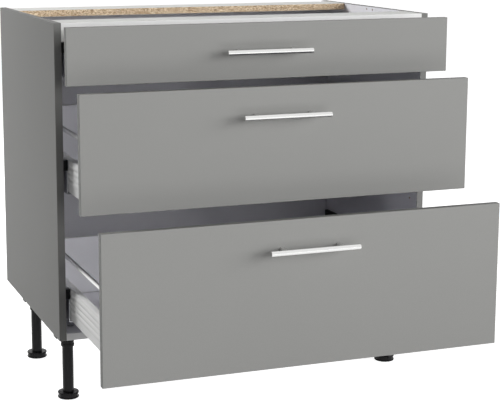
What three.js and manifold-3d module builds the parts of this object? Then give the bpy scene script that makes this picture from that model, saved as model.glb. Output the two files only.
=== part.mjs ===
// Kitchen base cabinet with three metal-sided drawers, shown part open as in the photograph.
// Millimetres. X runs to the right, Y to the back, Z up; the floor is at Z = 0.
import * as THREE from "three";
import { mergeVertices } from "three/addons/utils/BufferGeometryUtils.js";
import Module from "manifold-3d";

const wasm = await Module();
wasm.setup();

// ---------------------------------------------------------------- driving dimensions

const carcass = { width: 900, height: 706, depth: 566, board: 16 };
const rail = { frontDepth: 85, backDepth: 96, stripHeight: 23 };
const backPanel = { thickness: 4, setInDepth: 46, grooveDepth: 8, grooveGap: 0.3 };
const connectorHole = { radius: 2.5, depth: 11, pitch: 32, topOffset: 7, railOffset: 172 };

const leg = {
  height: 166, // floor to the underside of the carcass
  frontOffset: 100, // from the front edge of the carcass
  spacing: 321, // front legs to back legs
  sideOffset: 42.5, // from the outer face of a side panel
  tubeRadius: 12.8,
  tubeWall: 1.4,
  socketRadius: 15.7,
  socketHeight: 43,
  facets: 28,
};
const legPlate = {
  thickness: 4,
  frontLength: 66, // the plate's reach from the leg's axis to the front
  backLength: 30,
  innerWidth: 30,
  armOffset: 39, // from the leg's axis to the arm under the side panel
  armLength: 26,
};
const foot = {
  radius: 24.5,
  ringHeight: 3.5,
  grooveHeight: 7,
  grooveDepth: 1.5,
  edgeWidth: 1,
  notchCount: 8,
  firstNotch: 38, // degrees from +X, as the foot happens to be screwed
  notchWidth: 3,
  notchDepth: 2.2,
  stemLength: 60,
  stemGap: 0.3,
};

const front = {
  thickness: 16,
  sideGap: 2, // from the outer face of a side panel
  endGap: 3, // from the top and the underside of the carcass
  gap: 5, // between two fronts
  bufferDepth: 2, // closed front to carcass
  topHeight: 123,
  middleHeight: 252,
};
const opened = { topLength: 78, middleLength: 178, lowerLength: 327 };
const handle = {
  length: 200,
  postPitch: 128,
  barRadius: 6,
  postRadius: 5,
  standOffDepth: 30,
  topOffset: 61.5, // from the top edge of the front, half of the top one
};

const drawerSide = {
  length: 500,
  height: 71,
  width: 14, // over both walls
  panelGap: 13, // to the side panel
  wall: 1.2,
  flangeWidth: 9,
  liftHeight: 13, // above the bottom edge of its front
  floorGap: 30, // lowest drawer, above the bottom panel
};
const rib = { count: 4, pitch: 12.4, depth: 1, startHeight: 18.2, flankHeight: 3.4 };
const drawerBase = { thickness: 16, sideGap: 0.3 };
const drawerBack = { thickness: 16, tallHeight: 150 };
const galleryRod = { radius: 5, height: 129, postHeight: 9 };

const runner = {
  length: 500,
  frontOffset: 4,
  sheet: 1.5,
  width: 10, // off the side panel
  topHeight: 69, // above the underside of the drawer side
  bottomHeight: 50,
  hookDepth: 5, // under the drawer side
  trackHeight: 14,
  trackOffset: 4.5, // track's near face, inside the drawer side
  capLength: 12,
};
const middleRunner = {
  length: 480,
  frontOffset: 6,
  sheet: 1.2,
  gap: 0.4,
  startHeight: 2,
  stepHeight: 4,
  shelfWidth: 4,
};
const jointGap = 0.3;

const board = carcass.board;
const innerHalf = carcass.width / 2 - board;

// The top front hangs from the top of the carcass, the middle one below it. The lowest takes what is left.
const topBottom = carcass.height - front.endGap - front.topHeight;
const middleBottom = topBottom - front.gap - front.middleHeight;
const lowerBottom = front.endGap;
const lowerHeight = middleBottom - front.gap - lowerBottom;

// Each drawer's front, how far it stands open, and the underside of its metal sides. Heights start at the
// underside of the carcass.
const drawers = [
  {
    name: "top",
    frontBottom: topBottom,
    frontHeight: front.topHeight,
    opening: opened.topLength,
    sideBottom: topBottom + drawerSide.liftHeight,
  },
  {
    name: "middle",
    frontBottom: middleBottom,
    frontHeight: front.middleHeight,
    opening: opened.middleLength,
    sideBottom: middleBottom + drawerSide.liftHeight,
    gallery: true,
  },
  {
    name: "lower",
    frontBottom: lowerBottom,
    frontHeight: lowerHeight,
    opening: opened.lowerLength,
    sideBottom: board + drawerSide.floorGap,
    gallery: true,
  },
];

// ---------------------------------------------------------------- materials

const finish = {
  greyLaminate: { color: 0x959592, roughness: 0.55, metalness: 0 },
  greyEdge: { color: 0x7d7d7b, roughness: 0.5, metalness: 0 },
  whiteBoard: { color: 0xe6e6e6, roughness: 0.5, metalness: 0 },
  rawBoard: { color: 0xc4a47c, roughness: 0.9, metalness: 0 },
  whiteSteel: { color: 0xe8e8e6, roughness: 0.35, metalness: 0.1 },
  blackSteel: { color: 0x1c1c1e, roughness: 0.5, metalness: 0.3 },
  zincSteel: { color: 0x9a9ca0, roughness: 0.35, metalness: 0.9 },
  brushedSteel: { color: 0xd2d2d0, roughness: 0.3, metalness: 1 },
  blackPlastic: { color: 0x1a1a1b, roughness: 0.45, metalness: 0 },
};
for (const key of Object.keys(finish)) finish[key] = new THREE.MeshStandardMaterial(finish[key]);

// ---------------------------------------------------------------- shapes and cuts

const sides = [
  { word: "left", sign: -1 },
  { word: "right", sign: 1 },
];

function bare(geometry) {
  const copy = geometry.clone();
  copy.deleteAttribute("normal");
  copy.deleteAttribute("uv");
  return mergeVertices(copy, 1e-4);
}

function solid(geometry) {
  const g = bare(geometry);
  return new wasm.Manifold(
    new wasm.Mesh({
      numProp: 3,
      vertProperties: new Float32Array(g.attributes.position.array),
      triVerts: new Uint32Array(g.index.array),
    }),
  );
}

function shapeOf(manifold) {
  const mesh = manifold.getMesh();
  const g = new THREE.BufferGeometry();
  g.setAttribute("position", new THREE.BufferAttribute(new Float32Array(mesh.vertProperties), 3));
  g.setIndex(new THREE.BufferAttribute(new Uint32Array(mesh.triVerts), 1));
  g.computeVertexNormals();
  return g;
}

function cut(geometry, tools) {
  return shapeOf(tools.reduce((left, tool) => left.subtract(solid(tool)), solid(geometry)));
}

function join(pieces) {
  return shapeOf(pieces.slice(1).reduce((sum, piece) => sum.add(solid(piece)), solid(pieces[0])));
}

// A box between two corners.
function block(x0, x1, y0, y1, z0, z1) {
  const g = new THREE.BoxGeometry(x1 - x0, y1 - y0, z1 - z0);
  return g.translate((x0 + x1) / 2, (y0 + y1) / 2, (z0 + z1) / 2);
}

// A turned piece about the Z axis, from [radius, height] points.
function turned(profile, segments) {
  const points = profile.map(([r, z]) => new THREE.Vector2(r, z));
  return new THREE.LatheGeometry(points, segments).rotateX(Math.PI / 2);
}

// A round bar between two points that lie along X or along Y.
function bar(radius, segments, axis, from, to) {
  const g = new THREE.CylinderGeometry(radius, radius, to - from, segments);
  if (axis === "x") g.rotateZ(-Math.PI / 2).translate((from + to) / 2, 0, 0);
  if (axis === "y") g.translate(0, (from + to) / 2, 0);
  return g;
}

// A section drawn as [inward from the side panel, height] points, drawn out along Y.
function drawnSection(points, sign, y0, y1) {
  const outline = points.map(([u, w]) => new THREE.Vector2(sign * (innerHalf - u), w));
  const g = new THREE.ExtrudeGeometry(new THREE.Shape(outline), { depth: y1 - y0, bevelEnabled: false });
  return g.rotateX(Math.PI / 2).translate(0, y1, 0);
}

function piece(name, geometry, material, x = 0, y = 0, z = 0) {
  const mesh = new THREE.Mesh(geometry, material);
  mesh.name = name;
  mesh.position.set(x, y, z);
  return mesh;
}

// ---------------------------------------------------------------- carcass

// The back panel's front face, and the groove that holds the panel.
const backFace = carcass.depth - backPanel.setInDepth - backPanel.thickness;
const grooveNear = backFace - backPanel.grooveGap;
const grooveFar = backFace + backPanel.thickness + backPanel.grooveGap;

// Z = 0 of this group is the underside of the carcass, Y = 0 the front edges of its panels.
function carcassGroup() {
  const group = new THREE.Group();
  const { width, height, depth } = carcass;
  const grooveBottom = board - backPanel.grooveDepth;

  for (const { word, sign } of sides) {
    const inner = sign * innerHalf;
    const outer = (sign * width) / 2;
    const panel = block(Math.min(inner, outer), Math.max(inner, outer), 0, depth, 0, height);
    const floorOfGroove = inner + sign * backPanel.grooveDepth;
    const overInner = inner - sign;
    const groove = block(
      Math.min(floorOfGroove, overInner), Math.max(floorOfGroove, overInner),
      grooveNear, grooveFar, grooveBottom, height + 1,
    );
    const holes = [0, 1].map((n) => {
      const hole = bar(connectorHole.radius, 12, "x", -1, connectorHole.depth);
      if (sign < 0) hole.rotateZ(Math.PI);
      const y = rail.frontDepth + connectorHole.railOffset + n * connectorHole.pitch;
      return hole.translate(inner, y, height - connectorHole.topOffset);
    });
    group.add(piece("side_panel_" + word, cut(panel, [groove, ...holes]), finish.greyLaminate));
  }

  const floorBoard = block(-innerHalf, innerHalf, 0, depth, 0, board);
  const floorGroove = block(-width, width, grooveNear, grooveFar, grooveBottom, board + 1);
  group.add(piece("bottom_panel", cut(floorBoard, [floorGroove]), finish.whiteBoard));

  const halfBack = innerHalf + backPanel.grooveDepth - backPanel.grooveGap;
  const backSheet = block(
    -halfBack, halfBack, backFace, backFace + backPanel.thickness,
    grooveBottom + backPanel.grooveGap, height,
  );
  group.add(piece("back_panel", backSheet, finish.whiteBoard));

  const frontRail = block(-innerHalf, innerHalf, 0, rail.frontDepth, height - board, height);
  group.add(piece("front_rail", frontRail, finish.whiteBoard));
  const stripTop = height - board;
  const railStrip = block(-innerHalf, innerHalf, 0, board, stripTop - rail.stripHeight, stripTop);
  group.add(piece("rail_strip", railStrip, finish.whiteBoard));
  const backRail = block(
    -innerHalf, innerHalf, backFace - rail.backDepth, backFace, height - board, height,
  );
  group.add(piece("back_rail", backRail, finish.rawBoard));
  return group;
}

// ---------------------------------------------------------------- legs

const footHead = 2 * foot.ringHeight + foot.grooveHeight; // height of the foot's disc
const tubeTop = leg.height - legPlate.thickness - jointGap;
const tubeBottom = footHead + jointGap;

// Z = 0 of this group is the floor, X and Y = 0 the axis of the leg.
function legGroup(word, sign) {
  const group = new THREE.Group();
  const { height, socketHeight, socketRadius, tubeRadius, facets } = leg;
  const plateUnder = height - legPlate.thickness;
  const bore = tubeRadius + jointGap;

  const socketCup = turned(
    [
      [0, height],
      [0, plateUnder],
      [bore, plateUnder],
      [bore, height - socketHeight],
      [socketRadius, height - socketHeight],
      [socketRadius, height],
      [0, height],
    ].reverse(),
    facets,
  );
  const innerEdge = -sign * legPlate.innerWidth;
  const outerEdge = sign * (leg.sideOffset - board / 2);
  const plate = block(
    Math.min(outerEdge, innerEdge), Math.max(outerEdge, innerEdge),
    -legPlate.frontLength, legPlate.backLength, plateUnder, height,
  );
  const armTip = sign * leg.sideOffset;
  const armNear = -legPlate.armOffset - legPlate.armLength;
  const arm = block(
    Math.min(armTip, innerEdge), Math.max(armTip, innerEdge),
    armNear, -legPlate.armOffset, plateUnder, height,
  );
  group.add(piece("leg_socket_" + word, join([socketCup, plate, arm]), finish.blackPlastic));

  const tubeInner = tubeRadius - leg.tubeWall;
  const tube = turned(
    [
      [tubeInner, tubeBottom],
      [tubeRadius, tubeBottom],
      [tubeRadius, tubeTop],
      [tubeInner, tubeTop],
      [tubeInner, tubeBottom],
    ],
    facets,
  );
  group.add(piece("leg_tube_" + word, tube, finish.blackPlastic));

  const { radius, ringHeight, grooveHeight, grooveDepth, edgeWidth } = foot;
  const stem = tubeInner - foot.stemGap;
  const waist = radius - grooveDepth;
  const disc = turned(
    [
      [0, 0],
      [radius - edgeWidth, 0],
      [radius, edgeWidth],
      [radius, ringHeight],
      [waist, ringHeight],
      [waist, ringHeight + grooveHeight],
      [radius, ringHeight + grooveHeight],
      [radius, footHead - edgeWidth],
      [radius - edgeWidth, footHead],
      [stem, footHead],
      [stem, footHead + foot.stemLength],
      [0, footHead + foot.stemLength],
    ],
    facets,
  );
  const notches = Array.from({ length: foot.notchCount }, (_, n) => {
    const notch = block(
      radius - foot.notchDepth, radius + 1, -foot.notchWidth / 2, foot.notchWidth / 2, -1, footHead + 1,
    );
    const turn = foot.firstNotch + (n * 360) / foot.notchCount;
    return notch.rotateZ(THREE.MathUtils.degToRad(turn));
  });
  group.add(piece("leg_foot_" + word, cut(disc, notches), finish.blackPlastic));
  return group;
}

// ---------------------------------------------------------------- runners

// Sections here are [inward from the side panel, height above the underside of the drawer side].
const hollowFar = drawerSide.panelGap + drawerSide.width - drawerSide.wall;
const trackNear = drawerSide.panelGap + runner.trackOffset;
const trackFar = trackNear + runner.sheet;
const middleTop = runner.trackHeight + middleRunner.gap + middleRunner.sheet;
const shelfUnder = middleTop + middleRunner.stepHeight + middleRunner.gap;

// A folded sheet: a hook over the panel side, then down and under the drawer side into its hollow.
function cabinetRunner(sign) {
  const s = runner.sheet;
  const { width, topHeight, bottomHeight, hookDepth, trackHeight } = runner;
  const section = [
    [0, bottomHeight],
    [s, bottomHeight],
    [s, topHeight - s],
    [width - s, topHeight - s],
    [width - s, -hookDepth],
    [trackFar, -hookDepth],
    [trackFar, trackHeight],
    [trackNear, trackHeight],
    [trackNear, s - hookDepth],
    [width, s - hookDepth],
    [width, topHeight],
    [0, topHeight],
  ];
  const y0 = runner.frontOffset;
  const folded = drawnSection(section, sign, y0, y0 + runner.length);
  const capSection = [
    [0, bottomHeight],
    [width, bottomHeight],
    [width, topHeight],
    [0, topHeight],
  ];
  return join([folded, drawnSection(capSection, sign, y0, y0 + runner.capLength)]);
}

// An S-shaped member that rides over the cabinet runner's track and carries the drawer side's shelf.
function middleMember(sign) {
  const { sheet, gap, startHeight, stepHeight } = middleRunner;
  const nearLeg = trackNear - gap - sheet;
  const farLeg = trackFar + gap;
  const upstand = hollowFar - gap - sheet;
  const section = [
    [nearLeg, startHeight],
    [nearLeg + sheet, startHeight],
    [nearLeg + sheet, middleTop - sheet],
    [farLeg, middleTop - sheet],
    [farLeg, startHeight],
    [upstand + sheet, startHeight],
    [upstand + sheet, middleTop + stepHeight],
    [upstand, middleTop + stepHeight],
    [upstand, startHeight + sheet],
    [farLeg + sheet, startHeight + sheet],
    [farLeg + sheet, middleTop],
    [nearLeg, middleTop],
  ];
  const y0 = middleRunner.frontOffset;
  return drawnSection(section, sign, y0, y0 + middleRunner.length);
}

// ---------------------------------------------------------------- drawers

// The double-walled metal side: ribbed outer wall, flat lip, inner wall with runner shelf and base flange.
function metalSide(sign, gallery) {
  const { height, width, panelGap, wall, flangeWidth, length } = drawerSide;
  const outer = panelGap;
  const inner = panelGap + width;
  const shelfTip = inner - wall - middleRunner.shelfWidth;
  const ribbed = [];
  for (let n = 0; n < rib.count; n += 1) {
    const start = rib.startHeight + n * rib.pitch;
    ribbed.push([outer, start]);
    ribbed.push([outer - rib.depth, start + rib.flankHeight]);
    ribbed.push([outer - rib.depth, start + rib.pitch - rib.flankHeight]);
  }
  ribbed.push([outer, rib.startHeight + rib.count * rib.pitch]);
  const section = [
    [outer, 0],
    ...ribbed,
    [outer, height],
    [inner, height],
    [inner, 0],
    [inner + flangeWidth, 0],
    [inner + flangeWidth, -wall],
    [inner - wall, -wall],
    [inner - wall, shelfUnder],
    [shelfTip, shelfUnder],
    [shelfTip, shelfUnder + wall],
    [inner - wall, shelfUnder + wall],
    [inner - wall, height - wall],
    [outer + wall, height - wall],
    [outer + wall, 0],
  ];
  const pressed = drawnSection(section, sign, 0, length);
  if (!gallery) return pressed;
  const postTop = galleryRod.height + galleryRod.postHeight;
  const post = [
    [outer + wall, height - wall],
    [inner, height - wall],
    [inner, postTop],
    [outer + wall, postTop],
  ];
  return join([pressed, drawnSection(post, sign, length - drawerBack.thickness, length)]);
}

// Z = 0 of this group is the underside of the drawer's metal sides, Y = 0 the back face of its front.
function drawerGroup({ name, frontBottom, frontHeight, sideBottom, gallery }) {
  const group = new THREE.Group();
  const halfFront = carcass.width / 2 - front.sideGap;
  const faceZ = frontBottom - sideBottom;
  const slab = block(-halfFront, halfFront, -front.thickness, 0, faceZ, faceZ + frontHeight);
  group.add(piece("drawer_front_" + name, slab, finish.greyLaminate));

  for (const { word, sign } of sides) {
    group.add(piece("drawer_side_" + name + "_" + word, metalSide(sign, gallery), finish.whiteSteel));
  }

  const innerWall = innerHalf - drawerSide.panelGap - drawerSide.width;
  const halfBase = innerWall - drawerBase.sideGap;
  const baseLength = drawerSide.length;
  const base = block(-halfBase, halfBase, 0, baseLength, 0, drawerBase.thickness);
  group.add(piece("drawer_base_" + name, base, finish.whiteBoard));

  const backTop = gallery ? drawerBack.tallHeight : drawerSide.height;
  const backBoard = block(
    -halfBase, halfBase, baseLength - drawerBack.thickness, baseLength,
    drawerBase.thickness, backTop,
  );
  group.add(piece("drawer_back_" + name, backBoard, finish.whiteBoard));

  const rodX = innerWall + drawerSide.width / 2;
  if (gallery) {
    for (const { word, sign } of sides) {
      const rod = bar(galleryRod.radius, 16, "y", 0, baseLength - drawerBack.thickness);
      const at = [sign * rodX, 0, galleryRod.height];
      group.add(piece("gallery_rod_" + name + "_" + word, rod, finish.brushedSteel, ...at));
    }
  }

  const handleZ = faceZ + frontHeight - handle.topOffset;
  const barY = -front.thickness - handle.standOffDepth;
  const barShape = bar(handle.barRadius, 24, "x", -handle.length / 2, handle.length / 2);
  group.add(piece("handle_bar_" + name, barShape, finish.brushedSteel, 0, barY, handleZ));
  for (const { word, sign } of sides) {
    const postAt = (sign * handle.postPitch) / 2;
    const shank = bar(handle.postRadius, 16, "y", 0, handle.standOffDepth);
    const saddle = bar(handle.barRadius + jointGap, 24, "x", -handle.length, handle.length);
    const post = cut(shank, [saddle]);
    group.add(piece("handle_post_" + name + "_" + word, post, finish.brushedSteel, postAt, barY, handleZ));
  }
  return group;
}

// ---------------------------------------------------------------- the cabinet

// The origin is on the floor, under the middle of the whole object as it stands in the photograph.
const furthestOpen = Math.max(...drawers.map((d) => d.opening));
const reach =
  furthestOpen + front.bufferDepth + front.thickness + handle.standOffDepth + handle.barRadius;
const frontEdgeY = (reach - carcass.depth) / 2;

const cabinet = new THREE.Group();
cabinet.name = "base_cabinet_with_drawers";
cabinet.position.set(0, frontEdgeY, 0);

const body = carcassGroup();
body.position.z = leg.height;
cabinet.add(body);

for (const { word, sign } of sides) {
  const x = sign * (carcass.width / 2 - leg.sideOffset);
  const frontLeg = legGroup("front_" + word, sign);
  frontLeg.position.set(x, leg.frontOffset, 0);
  const backLeg = legGroup("back_" + word, sign);
  backLeg.position.set(x, leg.frontOffset + leg.spacing, 0);
  cabinet.add(frontLeg, backLeg);
}

for (const drawer of drawers) {
  const z = leg.height + drawer.sideBottom;
  const box = drawerGroup(drawer);
  box.position.set(0, -front.bufferDepth - drawer.opening, z);
  cabinet.add(box);
  for (const { word, sign } of sides) {
    const fixed = cabinetRunner(sign);
    const moving = middleMember(sign);
    cabinet.add(piece("cabinet_runner_" + drawer.name + "_" + word, fixed, finish.blackSteel, 0, 0, z));
    const shift = -drawer.opening / 2;
    cabinet.add(piece("middle_runner_" + drawer.name + "_" + word, moving, finish.zincSteel, 0, shift, z));
  }
}

export default cabinet;
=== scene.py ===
import math

import bmesh
import bpy
from mathutils import Matrix, Vector


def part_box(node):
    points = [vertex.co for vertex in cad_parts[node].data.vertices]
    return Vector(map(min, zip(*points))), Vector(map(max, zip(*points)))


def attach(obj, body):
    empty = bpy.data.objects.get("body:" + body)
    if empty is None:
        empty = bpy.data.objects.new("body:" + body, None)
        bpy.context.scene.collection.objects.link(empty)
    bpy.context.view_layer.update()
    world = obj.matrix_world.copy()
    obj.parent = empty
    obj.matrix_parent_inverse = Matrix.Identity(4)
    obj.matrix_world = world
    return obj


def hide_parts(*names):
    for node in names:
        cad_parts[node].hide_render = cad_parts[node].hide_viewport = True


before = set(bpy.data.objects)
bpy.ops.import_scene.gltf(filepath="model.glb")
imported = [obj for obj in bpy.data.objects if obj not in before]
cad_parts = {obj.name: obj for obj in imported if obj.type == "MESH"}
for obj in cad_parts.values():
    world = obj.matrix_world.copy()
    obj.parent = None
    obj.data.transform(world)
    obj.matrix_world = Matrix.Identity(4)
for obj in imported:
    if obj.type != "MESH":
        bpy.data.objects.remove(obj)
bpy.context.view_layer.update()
box = {name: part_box(name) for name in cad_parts}
sides = {"left": -1, "right": 1}
drawerNames = ["top", "middle", "lower"]

# ways that a copied fitting can face, from +Z
faceUp = (0, 0, 0)
faceDown = (math.pi, 0, 0)
faceBack = (-math.pi / 2, 0, 0)
faceLeft = (0, -math.pi / 2, 0)
faceRight = (0, math.pi / 2, 0)

modelling = {
    "square": 0.9,  # a direction's share along an axis from which it counts as along it
    "seam": 0.00002,  # a spun piece's first and last points are this near
    "dot": 0.0001,  # size of the face that a drawn line starts from
    "smoothAngle": 14,  # degrees
}


def pick(*pieces):
    bpy.ops.object.select_all(action="DESELECT")
    for piece in pieces:
        piece.select_set(True)
    bpy.context.view_layer.objects.active = pieces[0]


def settle(piece):  # its place, turn and size go into its mesh
    pick(piece)
    bpy.ops.object.transform_apply(location=True, rotation=True, scale=True)
    return piece


def addBlock(name, corner, opposite):
    ends = list(zip(corner, opposite))
    bpy.ops.object.select_all(action="DESELECT")
    bpy.ops.mesh.primitive_cube_add(size=1, location=[(a + b) / 2 for a, b in ends])
    block = bpy.context.object
    block.name = name
    block.scale = [abs(b - a) for a, b in ends]
    return settle(block)


def addRod(name, radius, start, end, axis="Z", around=(0, 0, 0), facets=40):
    turn = {"X": (0, math.pi / 2, 0), "Y": (-math.pi / 2, 0, 0), "Z": (0, 0, 0)}[axis]
    place = list(around)
    place["XYZ".index(axis)] = (start + end) / 2
    bpy.ops.object.select_all(action="DESELECT")
    bpy.ops.mesh.primitive_cylinder_add(
        vertices=facets, radius=radius, depth=abs(end - start), location=place, rotation=turn
    )
    rod = bpy.context.object
    rod.name = name
    return settle(rod)


def choose(piece, kind, test):  # opens edit mode with what passes the test selected
    pick(piece)
    bpy.ops.object.mode_set(mode="EDIT")
    bpy.ops.mesh.select_mode(type=kind)
    bpy.ops.mesh.select_all(action="DESELECT")
    mesh = bmesh.from_edit_mesh(piece.data)
    if kind == "FACE":
        mesh.normal_update()
        chosen = [face for face in mesh.faces if test(face.calc_center_median(), face.normal)]
    else:
        ends = [(edge, edge.verts[0].co, edge.verts[1].co) for edge in mesh.edges]
        chosen = [edge for edge, a, b in ends if test((a + b) / 2, (b - a).normalized())]
    for part in chosen:
        part.select_set(True)
    bmesh.update_edit_mesh(piece.data)


def leaveEdit():
    bpy.ops.object.mode_set(mode="OBJECT")


# tests get where an edge or face is, and the way that it runs or faces
def anywhere(at, way):
    return True


def along(axis):
    return lambda at, way: abs(way["XYZ".index(axis)]) > modelling["square"]


def across(axis):
    return lambda at, way: abs(way["XYZ".index(axis)]) < 1 - modelling["square"]


def roundEdges(piece, width, steps=2, test=anywhere):
    choose(piece, "EDGE", test)
    bpy.ops.mesh.bevel(offset=width, segments=steps, profile=0.5, affect="EDGES")
    leaveEdit()
    return piece


def insetFaces(piece, width, depth, test):
    choose(piece, "FACE", test)
    bpy.ops.mesh.inset(thickness=width, depth=depth)
    leaveEdit()
    return piece


def cutAway(piece, *cutters):
    for cutter in cutters:
        pick(piece)
        bpy.ops.object.modifier_add(type="BOOLEAN")
        cut = piece.modifiers[-1]
        cut.operation = "DIFFERENCE"
        cut.solver = "EXACT"
        cut.object = cutter
        bpy.ops.object.modifier_apply(modifier=cut.name)
        bpy.data.objects.remove(cutter)
    return piece


def joinAs(name, *pieces):
    pick(*pieces)
    if len(pieces) > 1:
        bpy.ops.object.join()
    whole = bpy.context.object
    whole.name = name
    return whole


def copyTo(piece, name, place, turn=faceUp):
    pick(piece)
    bpy.ops.object.duplicate(linked=False)
    copy = bpy.context.object
    copy.name = name
    copy.rotation_euler = turn
    copy.location = place
    return settle(copy)


def scatter(template, name, places, turn=faceUp):
    return joinAs(name, *[copyTo(template, name, place, turn) for place in places])


def drawLine(name, points, place):
    # one vertex, extruded from point to point in the XZ plane; edit mode stays open on the line's edges
    bpy.ops.object.select_all(action="DESELECT")
    bpy.ops.mesh.primitive_plane_add(size=modelling["dot"], location=place)
    line = settle(bpy.context.object)
    line.name = name
    bpy.ops.object.mode_set(mode="EDIT")
    bpy.ops.mesh.select_mode(type="VERT")
    bpy.ops.mesh.select_all(action="SELECT")
    bpy.ops.mesh.merge(type="CENTER")
    for (x0, z0), (x1, z1) in zip(points, points[1:]):
        bpy.ops.mesh.extrude_vertices_move(TRANSFORM_OT_translate={"value": (x1 - x0, 0, z1 - z0)})
    bpy.ops.mesh.select_mode(type="EDGE")
    bpy.ops.mesh.select_all(action="SELECT")
    return line


def drawOut(name, points, start, end, thickness, growth):
    # a section of [x, z] points drawn out along Y, with its wall grown to one side
    sheet = drawLine(name, points, (points[0][0], start, points[0][1]))
    bpy.ops.mesh.extrude_region_move(TRANSFORM_OT_translate={"value": (0, end - start, 0)})
    leaveEdit()
    bpy.ops.object.modifier_add(type="SOLIDIFY")
    wall = sheet.modifiers[-1]
    wall.thickness = thickness
    wall.offset = growth
    wall.use_even_offset = True
    bpy.ops.object.modifier_apply(modifier=wall.name)
    return sheet


def spinUp(name, points, centre, facets=48):
    # a profile of [radius, z] points turned about an upright axis
    x, y = centre
    turned = drawLine(name, points, (x + points[0][0], y, points[0][1]))
    bpy.ops.mesh.spin(steps=facets, angle=2 * math.pi, center=(x, y, 0), axis=(0, 0, 1))
    bpy.ops.mesh.select_all(action="SELECT")
    bpy.ops.mesh.remove_doubles(threshold=modelling["seam"])
    bpy.ops.mesh.normals_make_consistent(inside=False)
    leaveEdit()
    return turned


def foldedSection(corners, steps=3):
    # [x, z, radius] corners, each rounded by an arc of its radius
    path = []
    for n, (x, z, radius) in enumerate(corners):
        here = Vector((x, z))
        if radius == 0 or n == 0 or n == len(corners) - 1:
            path.append((x, z))
            continue
        back = (Vector(corners[n - 1][:2]) - here).normalized()
        ahead = (Vector(corners[n + 1][:2]) - here).normalized()
        half = back.angle(ahead) / 2
        centre = here + (back + ahead).normalized() * radius / math.sin(half)
        first = here + back * radius / math.tan(half) - centre
        last = here + ahead * radius / math.tan(half) - centre
        for step in range(steps + 1):
            path.append(tuple(centre + first.lerp(last, step / steps).normalized() * radius))
    return path


def paint(piece, material, test=anywhere):
    slots = piece.data.materials
    if material.name not in slots:
        slots.append(material)
    number = slots.find(material.name)
    for face in piece.data.polygons:
        if test(face.center, face.normal):
            face.material_index = number
    return piece


def fit(piece, body, slot, *nodes):  # shades a finished piece and hangs it on its body
    pick(piece)
    bpy.ops.object.shade_smooth_by_angle(angle=math.radians(modelling["smoothAngle"]))
    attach(piece, body)
    if nodes:
        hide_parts(*nodes)
    return piece


def newGroup(name, inputs, outputs):
    tree = bpy.data.node_groups.new(name, "ShaderNodeTree")
    for title, value in inputs.items():
        kind = "NodeSocketFloat" if isinstance(value, (int, float)) else "NodeSocketVector"
        if isinstance(value, tuple) and len(value) == 4:
            kind = "NodeSocketColor"
        socket = tree.interface.new_socket(name=title, in_out="INPUT", socket_type=kind)
        socket.default_value = value
    for title, kind in outputs.items():
        tree.interface.new_socket(name=title, in_out="OUTPUT", socket_type=kind)
    return tree, tree.nodes.new("NodeGroupInput").outputs, tree.nodes.new("NodeGroupOutput").inputs


def addNode(tree, kind, inputs=None, **settings):
    node = tree.nodes.new(kind)
    for key, value in settings.items():
        setattr(node, key, value)
    for key, value in (inputs or {}).items():
        if isinstance(value, bpy.types.NodeSocket):
            tree.links.new(value, node.inputs[key])
        else:
            node.inputs[key].default_value = value
    return node


def sums(tree, operation, first, second, third=None):
    inputs = {0: first, 1: second}
    if third is not None:
        inputs[2] = third
    return addNode(tree, "ShaderNodeMath", inputs, operation=operation).outputs[0]


def addNoise(tree, where, scale, detail, output="Fac"):
    inputs = {"Vector": where, "Scale": scale, "Detail": detail}
    return addNode(tree, "ShaderNodeTexNoise", inputs).outputs[output]


def scaled(tree, vector, size):
    return addNode(tree, "ShaderNodeVectorMath", {0: vector, "Scale": size}, operation="SCALE").outputs[0]


def swing(tree, value, spread):  # a noise turned into a swing about zero
    return sums(tree, "MULTIPLY", sums(tree, "SUBTRACT", value, 0.5), spread)


def makeGrainGroup():
    # fine speckle over slow clouds, for coated boards and moulded plastic
    grain = {"fineDetail": 2.0, "cloudScale": 3.1, "cloudDetail": 3.0}
    tree, given, result = newGroup(
        "fineGrain",
        {"Colour": (0.5, 0.5, 0.5, 1), "Scale": 1200.0, "Speckle": 0.05, "Clouds": 0.03},
        {"Colour": "NodeSocketColor", "Height": "NodeSocketFloat", "Haze": "NodeSocketFloat"},
    )
    where = addNode(tree, "ShaderNodeTexCoord").outputs["Object"]
    fine = addNoise(tree, where, given["Scale"], grain["fineDetail"])
    slow = addNoise(tree, where, grain["cloudScale"], grain["cloudDetail"])
    speckle = swing(tree, fine, given["Speckle"])
    clouds = swing(tree, slow, given["Clouds"])
    level = sums(tree, "ADD", sums(tree, "ADD", speckle, clouds), 1.0)
    tree.links.new(scaled(tree, given["Colour"], level), result["Colour"])
    tree.links.new(fine, result["Height"])
    tree.links.new(slow, result["Haze"])
    return tree


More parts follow.
